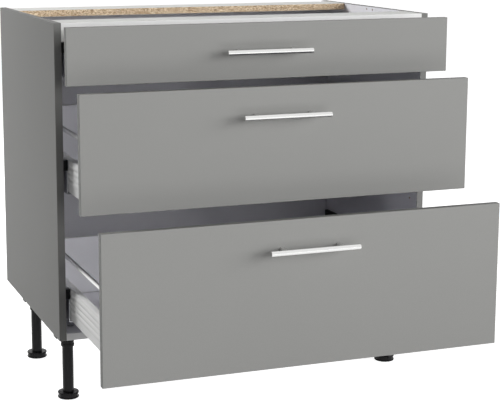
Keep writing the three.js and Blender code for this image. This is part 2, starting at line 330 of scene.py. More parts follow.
def makeFlakeGroup():
    # pressed wood chips: pale and brown flakes with dark gaps
    chips = {
        "wobbleScale": 260.0, "wobbleDetail": 2.0, "wobble": 0.004, "stretch": (0.6, 1.0, 1.5),
        "dustScale": 900.0, "dustDetail": 3.0, "flakeShare": 0.72, "dustShare": 0.32,
        "darkest": 0.12, "lightest": 0.86,
        "dark": (0.16, 0.085, 0.035, 1), "light": (0.90, 0.77, 0.58, 1),
        "between": [(0.3, (0.43, 0.29, 0.17, 1)), (0.55, (0.62, 0.47, 0.31, 1))],
    }
    tree, given, result = newGroup(
        "pressedChips", {"Scale": 420.0}, {"Colour": "NodeSocketColor", "Height": "NodeSocketFloat"}
    )
    where = addNode(tree, "ShaderNodeTexCoord").outputs["Object"]
    wobble = addNoise(tree, where, chips["wobbleScale"], chips["wobbleDetail"], "Color")
    bent = scaled(tree, wobble, chips["wobble"])
    moved = addNode(tree, "ShaderNodeVectorMath", {0: where, 1: bent}, operation="ADD").outputs[0]
    flat = addNode(tree, "ShaderNodeMapping", {"Vector": moved, "Scale": chips["stretch"]}).outputs[0]
    flake = addNode(tree, "ShaderNodeTexVoronoi", {"Vector": flat, "Scale": given["Scale"]})
    tone = addNode(tree, "ShaderNodeSeparateColor", {"Color": flake.outputs["Color"]}).outputs[0]
    dust = addNoise(tree, where, chips["dustScale"], chips["dustDetail"])
    toneShare = sums(tree, "MULTIPLY", tone, chips["flakeShare"])
    dustShare = sums(tree, "MULTIPLY", dust, chips["dustShare"])
    mixed = sums(tree, "ADD", toneShare, dustShare)
    ramp = addNode(tree, "ShaderNodeValToRGB", {"Fac": mixed})
    stops = ramp.color_ramp.elements
    stops[0].position, stops[0].color = chips["darkest"], chips["dark"]
    stops[1].position, stops[1].color = chips["lightest"], chips["light"]
    for spot, colour in chips["between"]:
        stops.new(spot).color = colour
    tree.links.new(ramp.outputs["Color"], result["Colour"])
    tree.links.new(mixed, result["Height"])
    return tree


def makeBrushGroup():
    # fine parallel lines of drawn or ground metal
    lineDetail = 4.0
    tree, given, result = newGroup(
        "brushLines",
        {"Stretch": (1.0, 1.0, 1.0), "Rough": 0.3, "Spread": 0.1},
        {"Rough": "NodeSocketFloat", "Height": "NodeSocketFloat"},
    )
    where = addNode(tree, "ShaderNodeTexCoord").outputs["Object"]
    drawn = addNode(tree, "ShaderNodeVectorMath", {0: where, 1: given["Stretch"]}, operation="MULTIPLY")
    lines = addNoise(tree, drawn.outputs[0], 1.0, lineDetail)
    spread = swing(tree, lines, given["Spread"])
    tree.links.new(sums(tree, "ADD", given["Rough"], spread), result["Rough"])
    tree.links.new(lines, result["Height"])
    return tree


def makeEdgeTintGroup():
    # how near a point is to an edge, broken up by noise; it sets where a coated surface takes its edge
    # colour
    breaks = {"scale": 160.0, "detail": 3.0, "samples": 4}
    tree, given, result = newGroup(
        "edgeTint", {"Reach": 0.001, "Amount": 0.5}, {"Mask": "NodeSocketFloat"}
    )
    where = addNode(tree, "ShaderNodeTexCoord").outputs["Object"]
    soft = addNode(tree, "ShaderNodeBevel", {"Radius": given["Reach"]}, samples=breaks["samples"])
    true = addNode(tree, "ShaderNodeNewGeometry").outputs["Normal"]
    same = addNode(tree, "ShaderNodeVectorMath", {0: soft.outputs[0], 1: true}, operation="DOT_PRODUCT")
    edge = sums(tree, "SUBTRACT", 1.0, same.outputs["Value"])
    broken = addNoise(tree, where, breaks["scale"], breaks["detail"])
    mask = sums(tree, "MULTIPLY", edge, sums(tree, "MULTIPLY", broken, given["Amount"]))
    tree.links.new(sums(tree, "MINIMUM", mask, 1.0), result["Mask"])
    return tree


grainGroup = makeGrainGroup()
flakeGroup = makeFlakeGroup()
brushGroup = makeBrushGroup()
wearGroup = makeEdgeTintGroup()


def newMaterial(name, **constants):
    material = bpy.data.materials.new(name)
    material.use_nodes = True
    tree = material.node_tree
    shader = tree.nodes["Principled BSDF"]
    for title, value in constants.items():
        shader.inputs[title.replace("_", " ")].default_value = value
    return material, tree, shader


def addGroup(tree, group, **values):
    return addNode(tree, "ShaderNodeGroup", values, node_tree=group).outputs


def addBump(tree, shader, height, strength, distance):
    inputs = {"Height": height, "Strength": strength, "Distance": distance}
    bump = addNode(tree, "ShaderNodeBump", inputs)
    tree.links.new(bump.outputs["Normal"], shader.inputs["Normal"])


# what a coated surface has where its material doesn't say otherwise
coating = {
    "scale": 900.0, "speckle": 0.05, "clouds": 0.03, "rough": 0.45, "hazeSpread": 0.10, "specular": 0.5,
    "bump": 0.12, "bumpDepth": 0.0002, "wear": 0.2, "wearReach": 0.0008,
}


def makeCoated(name, colour, edgeColour, **changes):
    # a coated, painted or moulded surface: speckle, slow clouds, and an edge colour mixed in near its
    # edges, a painted highlight where that colour is lighter, a darker edge tone where it is darker
    look = {**coating, **changes}
    material, tree, shader = newMaterial(name, Specular_IOR_Level=look["specular"])
    grain = addGroup(tree, grainGroup, Colour=(*colour, 1), Scale=look["scale"],
                     Speckle=look["speckle"], Clouds=look["clouds"])
    edgeTintMask = addGroup(tree, wearGroup, Reach=look["wearReach"], Amount=look["wear"])
    # the edge colour goes in near the edges: lighter on the dark finishes, as a painted highlight, darker
    # on the white ones
    mixing = {0: edgeTintMask["Mask"], 6: grain["Colour"], 7: (*edgeColour, 1)}
    mix = addNode(tree, "ShaderNodeMix", mixing, data_type="RGBA")
    tree.links.new(mix.outputs[2], shader.inputs["Base Color"])
    haze = sums(tree, "MULTIPLY_ADD", grain["Haze"], look["hazeSpread"], look["rough"])
    tree.links.new(haze, shader.inputs["Roughness"])
    addBump(tree, shader, grain["Height"], look["bump"], look["bumpDepth"])
    return material


metalGrain = {"scale": 500.0, "clouds": 0.05, "bumpDepth": 0.0002}


def makeMetal(name, colour, look):
    material, tree, shader = newMaterial(name, Metallic=1.0)
    lines = addGroup(tree, brushGroup, Stretch=look["stretch"], Rough=look["rough"], Spread=look["spread"])
    grain = addGroup(tree, grainGroup, Colour=(*colour, 1), Scale=metalGrain["scale"],
                     Speckle=look["speckle"], Clouds=metalGrain["clouds"])
    tree.links.new(grain["Colour"], shader.inputs["Base Color"])
    tree.links.new(lines["Rough"], shader.inputs["Roughness"])
    addBump(tree, shader, lines["Height"], look["bump"], metalGrain["bumpDepth"])
    return material


def makeChipboard(name, look):
    material, tree, shader = newMaterial(name, Roughness=look["rough"])
    chips = addGroup(tree, flakeGroup, Scale=look["scale"])
    tree.links.new(chips["Colour"], shader.inputs["Base Color"])
    addBump(tree, shader, chips["Height"], look["bump"], look["bumpDepth"])
    return material


# each finish's second colour is its edge colour: lighter than the surface on the grey, black and brown
# finishes and on the white plastic, a painted highlight along their edges; darker on the other white
# finishes
greyLaminate = makeCoated(
    "greyLaminate", (0.272, 0.272, 0.264), (0.33, 0.33, 0.32),
    scale=620.0, speckle=0.13, clouds=0.04, rough=0.46, specular=0.02,
)
edgeBand = {"speckle": 0.08, "bump": 0.10, "wear": 0.3}
greyEdge = makeCoated(
    "greyEdge", (0.205, 0.205, 0.199), (0.26, 0.26, 0.25), specular=0.12, **edgeBand
)
panelEdge = makeCoated(
    "panelEdge", (0.205, 0.205, 0.199), (0.26, 0.26, 0.25), specular=0.05, **edgeBand
)
# the white melamine inside the cabinet and drawers, made brighter and bluish: painted fill light and a
# painted bluish shade tint for the shaded inside
shadedWhiteMelamine = makeCoated(
    "shadedWhiteMelamine", (0.88, 0.875, 0.915), (0.70, 0.69, 0.67), scale=1100.0, specular=0.2
)
# the same white melamine on the rails, as a dimmer neutral copy for their lit surfaces; with the inside
# copy this makes lit and shaded copies of one board
litWhiteMelamine = makeCoated(
    "litWhiteMelamine", (0.73, 0.735, 0.712), (0.66, 0.65, 0.63), scale=1100.0, specular=0.2
)
whiteEdge = makeCoated(
    "whiteEdge", (0.82, 0.82, 0.815), (0.66, 0.65, 0.62),
    scale=700.0, speckle=0.04, rough=0.38, bump=0.08, wear=0.3, specular=0.2,
)
whitePowder = makeCoated(
    "whitePowder", (0.87, 0.87, 0.86), (0.78, 0.78, 0.77),
    scale=650.0, speckle=0.03, rough=0.32, hazeSpread=0.08, bump=0.25, specular=0.05,
)
blackPlastic = makeCoated(
    "blackPlastic", (0.010, 0.010, 0.0105), (0.03, 0.03, 0.03), scale=1800.0, speckle=0.30,
    clouds=0.15, rough=0.22, hazeSpread=0.05, bump=0.05, bumpDepth=0.0001, wear=0.5, specular=0.14,
)
whitePlastic = makeCoated(
    "whitePlastic", (0.74, 0.74, 0.73), (0.82, 0.82, 0.81),
    speckle=0.03, rough=0.35, hazeSpread=0.08, bump=0.10, bumpDepth=0.0001, wear=0.3,
)
hardboard = makeCoated(
    "hardboard", (0.30, 0.19, 0.11), (0.45, 0.33, 0.22),
    scale=420.0, speckle=0.55, clouds=0.15, rough=0.75, bump=0.5, bumpDepth=0.0004, wear=0.4,
)
rawChipboard = makeChipboard("rawChipboard", {
    "scale": 560.0, "rough": 0.88, "bump": 0.7, "bumpDepth": 0.0006,
})
zincPlate = makeMetal("zincPlate", (0.54, 0.55, 0.57), {
    "stretch": (900.0, 30.0, 900.0), "rough": 0.36, "spread": 0.20, "speckle": 0.12, "bump": 0.10,
})
satinBar = makeMetal("satinBar", (0.78, 0.78, 0.77), {
    "stretch": (6.0, 2400.0, 2400.0), "rough": 0.17, "spread": 0.06, "speckle": 0.03, "bump": 0.03,
})
satinRod = makeMetal("satinRod", (0.74, 0.74, 0.735), {
    "stretch": (3200.0, 40.0, 3200.0), "rough": 0.34, "spread": 0.16, "speckle": 0.04, "bump": 0.10,
})
print("materials made")


# a pan head's cross slot, in shares of the head's radius and height
panHead = {"rim": 0.75, "rimSteps": 4, "reach": 0.6, "half": 0.12, "floor": 0.35, "above": 2}
# a connector's round cam, nearly flush with the board; its slot in shares of its radius
camDisc = {"sunk": 0.001, "round": 0.0003, "reach": 0.62, "half": 0.11, "floor": -0.0005, "above": 0.01}
# radius and height of each
fittings = {"screw": (0.0036, 0.0022), "smallScrew": (0.0032, 0.0011), "cam": (0.0075, 0.0004)}


def crossCutters(reach, half, low, high):
    return [
        addBlock("slot", (-reach, -half, low), (reach, half, high)),
        addBlock("slot", (-half, -reach, low), (half, reach, high)),
    ]


def topRim(height):  # edges at a head's top, which stands on Z = 0
    return lambda at, way: at.z > height * 0.99


def makeScrew(name, radius, height):
    head = addRod(name, radius, 0, height, facets=32)
    roundEdges(head, height * panHead["rim"], panHead["rimSteps"], topRim(height))
    reach, half = radius * panHead["reach"], radius * panHead["half"]
    slots = crossCutters(reach, half, height * panHead["floor"], height * panHead["above"])
    return paint(cutAway(head, *slots), zincPlate)


def makeCam(name, radius, height):
    disc = addRod(name, radius, -camDisc["sunk"], height)
    roundEdges(disc, camDisc["round"], 2, topRim(height))
    reach, half = radius * camDisc["reach"], radius * camDisc["half"]
    slots = crossCutters(reach, half, camDisc["floor"], camDisc["above"])
    return paint(cutAway(disc, *slots), zincPlate)


screw = makeScrew("screw", *fittings["screw"])
smallScrew = makeScrew("smallScrew", *fittings["smallScrew"])
cam = makeCam("cam", *fittings["cam"])


boards = {
    "round": 0.0005,
    "thinRound": 0.0003,
    "skin": 0.0006,  # faces this near a board's wide side are part of it
    "endSkin": 0.0003,
    "rim": 0.001,
    "cutFloor": 0.002,
    "cutDeepest": 0.0125,
    "past": 0.002,  # how far a cutter stands out of its board
    "holeRadius": 0.0025,
    "holeDepth": 0.011,
    "holeFacets": 24,
    "frontRow": 0.037,  # from the front edge of a side panel
    "rowHeights": [0.258, 0.514],
    "connectorRow": [0.257, 0.289],
    "connectorDrop": 0.007,
    "grooveGap": 0.0003,
    "grooveDepth": 0.008,
    "grooveStart": 0.008,  # over the side panel's underside
    "grooveReach": 0.5,  # to each side of the middle
}
backLow, backHigh = box["back_panel"]
carcassUnder = box["side_panel_left"][0].z
frontEdge = box["side_panel_left"][0].y
innerFace = box["side_panel_right"][0].x


def makeBoard(name, node, width=boards["round"]):
    return roundEdges(addBlock(name, *box[node]), width)


def paintBoard(board, node, axis, face, edge):
    # the two wide sides are coated, the narrow ones carry the edge's finish
    low, high = box[node]
    skin = boards["skin"]
    paint(board, edge)
    return paint(board, face, lambda at, way: at[axis] < low[axis] + skin or at[axis] > high[axis] - skin)


def onEnd(axis, level, sign):  # faces at a board's end that look along an axis
    return lambda at, way: (
        way[axis] * sign > modelling["square"] and abs(at[axis] - level) < boards["endSkin"]
    )


def makeSidePanel(word, side):
    node = "side_panel_" + word
    low, high = box[node]
    inner, outer = side * innerFace, high.x if side > 0 else low.x
    past, gap, rim = inner - side * boards["past"], boards["grooveGap"], boards["rim"]
    panel = makeBoard(node + "_board", node)
    grooveFloor, grooveStart = inner + side * boards["grooveDepth"], carcassUnder + boards["grooveStart"]
    cutters = [addBlock("groove", (grooveFloor, backLow.y - gap, grooveStart),
                        (past, backHigh.y + gap, high.z + boards["past"]))]
    spots = [(y, high.z - boards["connectorDrop"]) for y in boards["connectorRow"]]
    spots += [(boards["frontRow"], carcassUnder + z) for z in boards["rowHeights"]]
    holeEnd = inner + side * boards["holeDepth"]
    for y, z in spots:
        spot = (0, frontEdge + y, z)
        cutters.append(addRod("hole", boards["holeRadius"], past, holeEnd, "X", spot, boards["holeFacets"]))
    cutAway(panel, *cutters)

    def wide(level):
        return lambda at, way: abs(at.x - level) < boards["skin"] and abs(way.x) > 0.95

    def cutOpen(at, way):
        return (boards["skin"] < abs(at.x - inner) < boards["cutDeepest"]
                and low.y + rim < at.y < high.y - rim and low.z + rim < at.z < high.z - rim)

    paint(panel, panelEdge)
    paint(panel, greyLaminate, wide(outer))
    paint(panel, shadedWhiteMelamine, wide(inner))
    paint(panel, rawChipboard, onEnd(1, high.y, 1))
    paint(panel, rawChipboard, onEnd(2, low.z, -1))
    paint(panel, rawChipboard, cutOpen)
    fit(panel, "carcass", "grey_laminate", node)


def makeFloorBoard():
    low, high = box["bottom_panel"]
    gap, reach, rim = boards["grooveGap"], boards["grooveReach"], boards["rim"]
    board = makeBoard("bottom_board", "bottom_panel")
    cutAway(board, addBlock("groove", (-reach, backLow.y - gap, backLow.z - gap),
                            (reach, backHigh.y + gap, high.z + boards["past"])))

    def cutOpen(at, way):
        return (backLow.y - rim < at.y < backHigh.y + rim
                and low.z + boards["cutFloor"] < at.z < high.z - boards["cutFloor"])

    paintBoard(board, "bottom_panel", 2, shadedWhiteMelamine, whiteEdge)
    paint(board, rawChipboard, onEnd(1, high.y, 1))
    paint(board, rawChipboard, cutOpen)
    fit(board, "carcass", "white_board", "bottom_panel")


def makeBackSheet():
    sheet = makeBoard("back_sheet", "back_panel", boards["thinRound"])
    paint(sheet, hardboard)
    paint(sheet, shadedWhiteMelamine, lambda at, way: way.y < -modelling["square"])
    fit(sheet, "carcass", "white_board", "back_panel")


def makeRails():
    front = makeBoard("front_rail_board", "front_rail")
    paintBoard(front, "front_rail", 2, litWhiteMelamine, whiteEdge)
    paint(front, rawChipboard, lambda at, way: way.y > modelling["square"])
    fit(front, "carcass", "white_board", "front_rail")
    strip = makeBoard("rail_strip_board", "rail_strip")
    paintBoard(strip, "rail_strip", 1, litWhiteMelamine, whiteEdge)
    fit(strip, "carcass", "white_board", "rail_strip")
    back = makeBoard("back_rail_board", "back_rail", boards["thinRound"])
    paintBoard(back, "back_rail", 2, litWhiteMelamine, rawChipboard)
    fit(back, "carcass", "raw_board", "back_rail")


connectors = {
    "fromSide": 0.024,
    "railRows": {"front_rail": 0.042, "back_rail": 0.050},
    "floorRows": [0.06, 0.44],
}


def makeConnectors():
    floorCorner = box["bottom_panel"][1]
    inside = floorCorner.x - connectors["fromSide"]
    under = [(x, box[node][0].y + setIn, box[node][0].z)
             for node, setIn in connectors["railRows"].items() for x in (-inside, inside)]
    fit(scatter(cam, "rail_cams", under, faceDown), "carcass", "zinc_steel")
    over = [(x, frontEdge + y, floorCorner.z) for x in (-inside, inside) for y in connectors["floorRows"]]
    fit(scatter(cam, "floor_cams", over, faceUp), "carcass", "zinc_steel")


# wedges that press the back panel into its grooves
wedges = {
    "width": 0.014, "reach": 0.018, "height": 0.040, "slant": 0.009, "round": 0.0008, "near": 0.01,
    "levels": [0.12, 0.37, 0.60],
}


def makeWedges(word, side):
    inner = side * innerFace

    def outerCorner(at, way):
        return (abs(at.x - inner) > wedges["near"] and at.y > backHigh.y + wedges["near"]
                and abs(way.z) > modelling["square"])

    blocks = []
    for level in wedges["levels"]:
        z = carcassUnder + level
        corner = (inner - side * wedges["width"], backHigh.y + wedges["reach"], z + wedges["height"])
        wedge = addBlock("wedge", (inner, backHigh.y, z), corner)
        roundEdges(wedge, wedges["slant"], 1, outerCorner)
        blocks.append(roundEdges(wedge, wedges["round"]))
    fit(paint(joinAs("back_wedges_" + word, *blocks), whitePlastic), "carcass", "white_board")


for word, side in sides.items():
    makeSidePanel(word, side)
makeFloorBoard()
makeBackSheet()
makeRails()
makeConnectors()
for word, side in sides.items():
    makeWedges(word, side)
print("carcass made")


legs = {
    "collarGap": 0.0002,  # round the tube
    "collarWall": 0.0026,
    "collarFacets": 56,
    "chamfer": 0.0006,
    "neckIn": 0.0009,
    "lipHeight": 0.006,
    "lipOut": 0.0011,
    "lipSlope": 0.0008,
    "neckTop": 0.010,  # below the plate, as the next one
    "shoulder": 0.007,
    "ribs": 4,
    "firstRib": 12,  # degrees from +X
    "ribOut": 0.0016,
    "ribWidth": 0.003,
    "ribSunk": 0.0008,
    "ribStart": 0.0075,
    "ribRound": 0.0007,
    "plateIn": 0.030,  # from the leg's middle towards the middle of the cabinet
    "plateOut": 0.0345,
    "plateThick": 0.004,
    "plateRound": 0.003,
    "armOut": 0.0425,
    "arm": (0.065, 0.039),  # in front of the leg's middle
    "armRound": 0.002,
    "webHalf": 0.0012,
    "webDepth": 0.014,
    "webTop": 0.003,
    "webIn": 0.006,  # from the plate's ends
    "crossFront": 0.008,
    "crossBack": 0.003,
    "webRound": 0.0006,
    "screwSpots": [(-0.020, -0.022), (0.022, -0.022), (-0.020, 0.024), (0.022, 0.024)],
    "tubeWall": 0.0014,
    "tubeChamfer": 0.0006,
    "tubeBurr": 0.0004,
    "tubeFacets": 64,
    "tubeGap": 0.0003,  # the tube stands this far over its foot
}


def makeCollar(name, centre, bore, low, high):
    # the part that grips the tube, with a lip, a shoulder and four ribs
    out = bore + legs["collarWall"]
    lip, neck, lipTop = out + legs["lipOut"], out - legs["neckIn"], low + legs["lipHeight"]
    parts = [spinUp(name, [
        (bore, high), (bore, low), (out - legs["chamfer"], low), (out, low + legs["chamfer"]),
        (out, lipTop), (neck, lipTop + legs["lipSlope"]), (neck, high - legs["neckTop"]),
        (lip, high - legs["shoulder"]), (lip, high), (bore, high),
    ], centre, legs["collarFacets"])]
    half = legs["ribWidth"] / 2
    for n in range(legs["ribs"]):
        rib = addBlock("rib", (bore + legs["ribSunk"], -half, low + legs["ribStart"]),
                       (out + legs["ribOut"] - legs["ribSunk"], half, high))
        roundEdges(rib, legs["ribRound"], 2, lambda at, way: at.x > out and abs(way.x) < 0.5)
        turn = math.radians(legs["firstRib"] + 360 * n / legs["ribs"])
        parts.append(copyTo(rib, "rib", (*centre, 0), (0, 0, turn)))
        bpy.data.objects.remove(rib)
    return joinAs(name, *parts)


def makeSocket(leg, side, centre, tubeRadius):
    x, y = centre
    low, high = box["leg_socket_" + leg]
    top, under = high.z, high.z - legs["plateThick"]
    collar = makeCollar("leg_collar_" + leg, centre, tubeRadius + legs["collarGap"], low.z, under)
    plateIn, plateOut = x - side * legs["plateIn"], x + side * legs["plateOut"]
    plate = addBlock("plate", (plateIn, low.y, under), (plateOut, high.y, top))
    roundEdges(plate, legs["plateRound"], 4, along("Z"))
    armStart, armEnd = x + side * legs["plateIn"], x + side * legs["armOut"]
    arm = addBlock("arm", (armStart, y - legs["arm"][0], under), (armEnd, y - legs["arm"][1], top))
    roundEdges(arm, legs["armRound"], 3, lambda at, way: (
        abs(way.z) > modelling["square"] and abs(at.x - armEnd) < legs["armRound"]
    ))
    half, webLow, webHigh = legs["webHalf"], top - legs["webDepth"], top - legs["webTop"]
    webIn, webOut = plateIn + side * legs["webIn"], plateOut - side * legs["webIn"]
    web = addBlock("web", (webIn, y - half, webLow), (webOut, y + half, webHigh))
    cross = addBlock("web", (x - half, low.y + legs["crossFront"], webLow),
                     (x + half, high.y - legs["crossBack"], webHigh))
    for rib in (web, cross):
        roundEdges(rib, legs["webRound"])
    socket = joinAs("leg_socket_" + leg + "_moulded", collar, plate, arm, web, cross)
    fit(paint(socket, blackPlastic), "carcass", "black_plastic", "leg_socket_" + leg)
    spots = [(x + side * a, y + b, under) for a, b in legs["screwSpots"]]
    fit(scatter(screw, "leg_screws_" + leg, spots, faceDown), "carcass", "zinc_steel")


def makeTube(leg, centre, radius, low, high):
    bore, chamfer, burr = radius - legs["tubeWall"], legs["tubeChamfer"], legs["tubeBurr"]
    tube = spinUp("leg_tube_" + leg + "_turned", [
        (bore, low + burr), (radius - chamfer, low), (radius, low + chamfer),
        (radius, high), (bore, high), (bore, low + burr),
    ], centre, legs["tubeFacets"])
    fit(paint(tube, blackPlastic), "carcass", "black_plastic", "leg_tube_" + leg)


footShape = {
    "ring": 0.0035,  # height of the upper and of the lower ring
    "waistIn": 0.0015,
    "round": 0.0011,
    "facets": 72,
    "notches": 8,
    "notchWidth": 0.003,
    "notchDepth": 0.0022,
    "firstNotch": 38,  # degrees from +X
    "cutterPast": (0.002, 0.001),
    "hub": 0.004,  # a flat round the stem
    "stem": 0.0106,
    "stemGap": 0.0002,
    "thread": 0.0022,
    "threadRise": (0.0004, 0.0013),
    "threadDepth": 0.0012,
    "plainEnd": 0.003,
    "endIn": 0.002,
}


def makeFoot(leg, centre, discTop):
    # two notched rings with a waist between them, on a threaded stem
    node = "leg_foot_" + leg
    f = footShape
    low, high = box[node][0].z, box[node][1].z
    radius = (box[node][1].x - box[node][0].x) / 2
    waist, r, stem = radius - f["waistIn"], f["round"], f["stem"]
    ringTop, ringUnder = low + f["ring"], discTop - f["ring"]
    # each ring's corners are rounded, in shares of the rounding
    profile = [
        (0, low), (radius - r * 1.4, low), (radius - r * 0.4, low + r * 0.4), (radius, low + r * 1.2),
        (radius, ringTop - r * 0.5), (radius - r * 0.5, ringTop), (waist, ringTop + r * 0.4),
        (waist, ringUnder - r * 0.4), (radius - r * 0.5, ringUnder), (radius, ringUnder + r * 0.5),
        (radius, discTop - r * 1.2), (radius - r * 0.4, discTop - r * 0.4),
        (radius - r * 1.4, discTop), (stem + f["hub"], discTop),
    ]
    z = discTop + f["stemGap"]
    while z < high - f["plainEnd"]:
        profile += [(stem - f["threadDepth"], z + f["threadRise"][0]), (stem, z + f["threadRise"][1])]
        z += f["thread"]
    profile += [(stem - f["endIn"], high), (0, high)]
    foot = spinUp(node + "_moulded", profile, (0, 0), f["facets"])
    inner, half = radius - f["notchDepth"], f["notchWidth"] / 2
    outPast, upPast = f["cutterPast"]
    notches = []
    for n in range(f["notches"]):
        notch = addBlock("notch", (inner, -half, low - upPast), (radius + outPast, half, discTop + upPast))
        turn = math.radians(f["firstNotch"] + 360 * n / f["notches"])
        notches.append(copyTo(notch, "notch", (0, 0, 0), (0, 0, turn)))
        bpy.data.objects.remove(notch)
    cutAway(foot, joinAs("notches", *notches))
    foot.location = (*centre, 0)
    fit(paint(settle(foot), blackPlastic), "foot_" + leg, "black_plastic", node)


for leg in ["front_left", "front_right", "back_left", "back_right"]:
    side = sides[leg.split("_")[1]]
    low, high = box["leg_tube_" + leg]
    centre, radius = ((low.x + high.x) / 2, (low.y + high.y) / 2), (high.x - low.x) / 2
    makeSocket(leg, side, centre, radius)
    makeTube(leg, centre, radius, low.z, high.z)
    makeFoot(leg, centre, low.z - legs["tubeGap"])
print("legs made")


# sections are [in from the side panel, up from the underside of the drawer side, corner radius]
runner = {
    "sheet": 0.0015,
    "solid": 0.95,  # share of the sheet's thickness that is drawn
    "fold": 0.001,
    "width": 0.010,
    "top": 0.069,
    "bottom": 0.050,
    "hook": 0.005,
    "trackIn": 0.0175,
    "trackTop": 0.014,
    "frontGap": 0.002,
    "slots": [0.10, 0.25, 0.40],
    "slotHalf": 0.003,
    "slotLength": 0.030,
    "slotHeights": (0.020, 0.026),
    "slotRound": 0.0029,
    "screws": [0.033, 0.225, 0.417],
    "screwHeight": 0.059,
}
runnerCap = {"front": 0.003, "back": 0.012, "bottom": 0.048, "top": 0.0715, "round": 0.001, "rim": 0.002,
             "sunk": 0.0015}
damperShape = {
    "start": 0.425,
    "backGap": 0.002,
    "bottom": 0.056,
    "top": 0.091,
    "round": 0.012,
    "edgeRound": 0.001,
    "slimmer": 0.0008,  # than the runner
}
middleMember = {
    "sheet": 0.0012, "fold": 0.0008, "near": 0.0149, "far": 0.0194, "up": 0.0242,
    "low": 0.002, "top": 0.0156, "rise": 0.0196,
}


def placed(section, side, base):  # a section on the left or right side panel, at its height
    return [(side * (innerFace - corner[0]), base + corner[1], *corner[2:]) for corner in section]


def makeTrack(node, side, base, low, high):
    sheet, fold, width = runner["sheet"], runner["fold"], runner["width"]
    shift = sheet / 2
    top, hook = runner["top"] - sheet, -runner["hook"]
    section = [
        (sheet, runner["bottom"], 0), (sheet, top, fold), (width - shift, top, fold),
        (width - shift, hook, fold), (runner["trackIn"] + shift, hook, fold),
        (runner["trackIn"] + shift, runner["trackTop"], 0),
    ]
    track = drawOut(node + "_folded", foldedSection(placed(section, side, base)),
                    low.y + runner["frontGap"], high.y, sheet * runner["solid"], 0)
    slots = []
    half, (slotLow, slotHigh) = runner["slotHalf"], runner["slotHeights"]
    for y in runner["slots"]:
        slot = addBlock("slot", (-half, low.y + y, base + slotLow),
                        (half, low.y + y + runner["slotLength"], base + slotHigh))
        roundEdges(slot, runner["slotRound"], 4, along("X"))
        slot.location.x = side * (innerFace - width + shift)
        slots.append(settle(slot))
    fit(paint(cutAway(track, *slots), zincPlate), "carcass", "black_steel", node)


def makeRunnerCap(name, side, base, low):
    c = runnerCap
    cap = addBlock(name, (side * innerFace, low.y - c["front"], base + c["bottom"]),
                   (side * (innerFace - runner["width"]), low.y + c["back"], base + c["top"]))
    roundEdges(cap, c["round"], 2, lambda at, way: at.y < low.y + c["round"])
    insetFaces(cap, c["rim"], -c["sunk"], lambda at, way: way.y < -modelling["square"])
    fit(paint(cap, blackPlastic), "carcass", "black_plastic")


def makeDamper(name, side, base, low, high):
    # catches a deep drawer, at the runner's back end
    d = damperShape
    start, top = low.y + d["start"], base + d["top"]
    damper = addBlock(name, (side * innerFace, start, base + d["bottom"]),
                      (side * (innerFace - runner["width"] + d["slimmer"]), high.y - d["backGap"], top))
    roundEdges(damper, d["round"], 3, lambda at, way: (
        abs(way.x) > modelling["square"] and at.z > top - 0.001 and at.y < start + 0.001
    ))
    roundEdges(damper, d["edgeRound"])
    fit(paint(damper, blackPlastic), "carcass", "black_plastic")


def makeMember(name, node, side, base):
    m = middleMember
    low, high = box[node]
    half, fold = m["sheet"] / 2, m["fold"]
    near, far, up = m["near"] + half, m["far"] + half, m["up"] + half
    section = [
        (near, m["low"], 0), (near, m["top"] - half, fold), (far, m["top"] - half, fold),
        (far, m["low"] + half, fold), (up, m["low"] + half, fold), (up, m["rise"], 0),
    ]
    member = drawOut(node + "_folded", foldedSection(placed(section, side, base)),
                     low.y, high.y, m["sheet"] * runner["solid"], 0)
    fit(paint(member, zincPlate), "runners_" + name, "zinc_steel", node)


for name in drawerNames:
    for word, side in sides.items():
        ending = name + "_" + word
        low, high = box["cabinet_runner_" + ending]
        base = low.z + runner["hook"]
        makeTrack("cabinet_runner_" + ending, side, base, low, high)
        makeRunnerCap("runner_cap_" + ending, side, base, low)
        if name != "top":
            makeDamper("runner_damper_" + ending, side, base, low, high)
        x = side * (innerFace - runner["sheet"])
        spots = [(x, low.y + y, base + runner["screwHeight"]) for y in runner["screws"]]
        turn = faceLeft if side > 0 else faceRight
        fit(scatter(screw, "runner_screws_" + ending, spots, turn), "carcass", "zinc_steel")
        makeMember(name, "middle_runner_" + ending, side, base)
print("runners made")


metalSide = {
    "sheet": 0.0012,
    "height": 0.071,
    "endGap": 0.0002,
    "outer": 0.013,
    "inner": 0.027,
    "foot": 0.004,
    "fold": 0.0008,
    "ribStart": 0.0182,
    "ribPitch": 0.0124,
    "ribs": 4,
    "ribDepth": 0.0015,
    "ribSteps": 10,
    "ribCurve": 0.5,  # 1 is a plain wave, less is fuller
    "lip": 0.0022,
    "flange": 0.009,
}
shelfShape = {"fold": 0.0008, "wallGap": 0.0018, "reach": 0.004, "top": 0.040, "bottom": 0.0206,
              "front": 0.020, "back": 0.004, "sheet": 0.001}
# over the front fixing, on the drawer side's inner wall
coverShape = {"thick": 0.0014, "front": (0.012, 0.046), "height": (0.034, 0.052), "round": 0.0088,
              "edgeRound": 0.0005}
# ties a drawer side to the drawer's back
bracketShape = {"width": 0.034, "thick": 0.0015, "height": (0.017, 0.066), "round": 0.004,
                "screwIn": 0.024, "screwHeights": (0.028, 0.055)}
gallery = {
    "radius": 0.005,
    "chamfer": 0.0006,
    "socketRadius": 0.0085,
    "socketLength": 0.016,
    "socketRound": 0.002,
    "holderLength": 0.016,
    "holderBottom": 0.068,
    "holderRound": 0.004,
    "holderEdge": 0.0008,
    "holderSeat": 0.002,  # its lowest edges stay sharp
}
frontBoard = {"round": 0.0009, "padRadius": 0.004, "padHeight": 0.0017, "padRound": 0.0007,
              "padIn": 0.006, "padFromEnd": 0.025}
drawerBack = {"rebateDeep": 0.004, "rebateOver": 0.0022, "past": 0.01}
baseRound = 0.0004


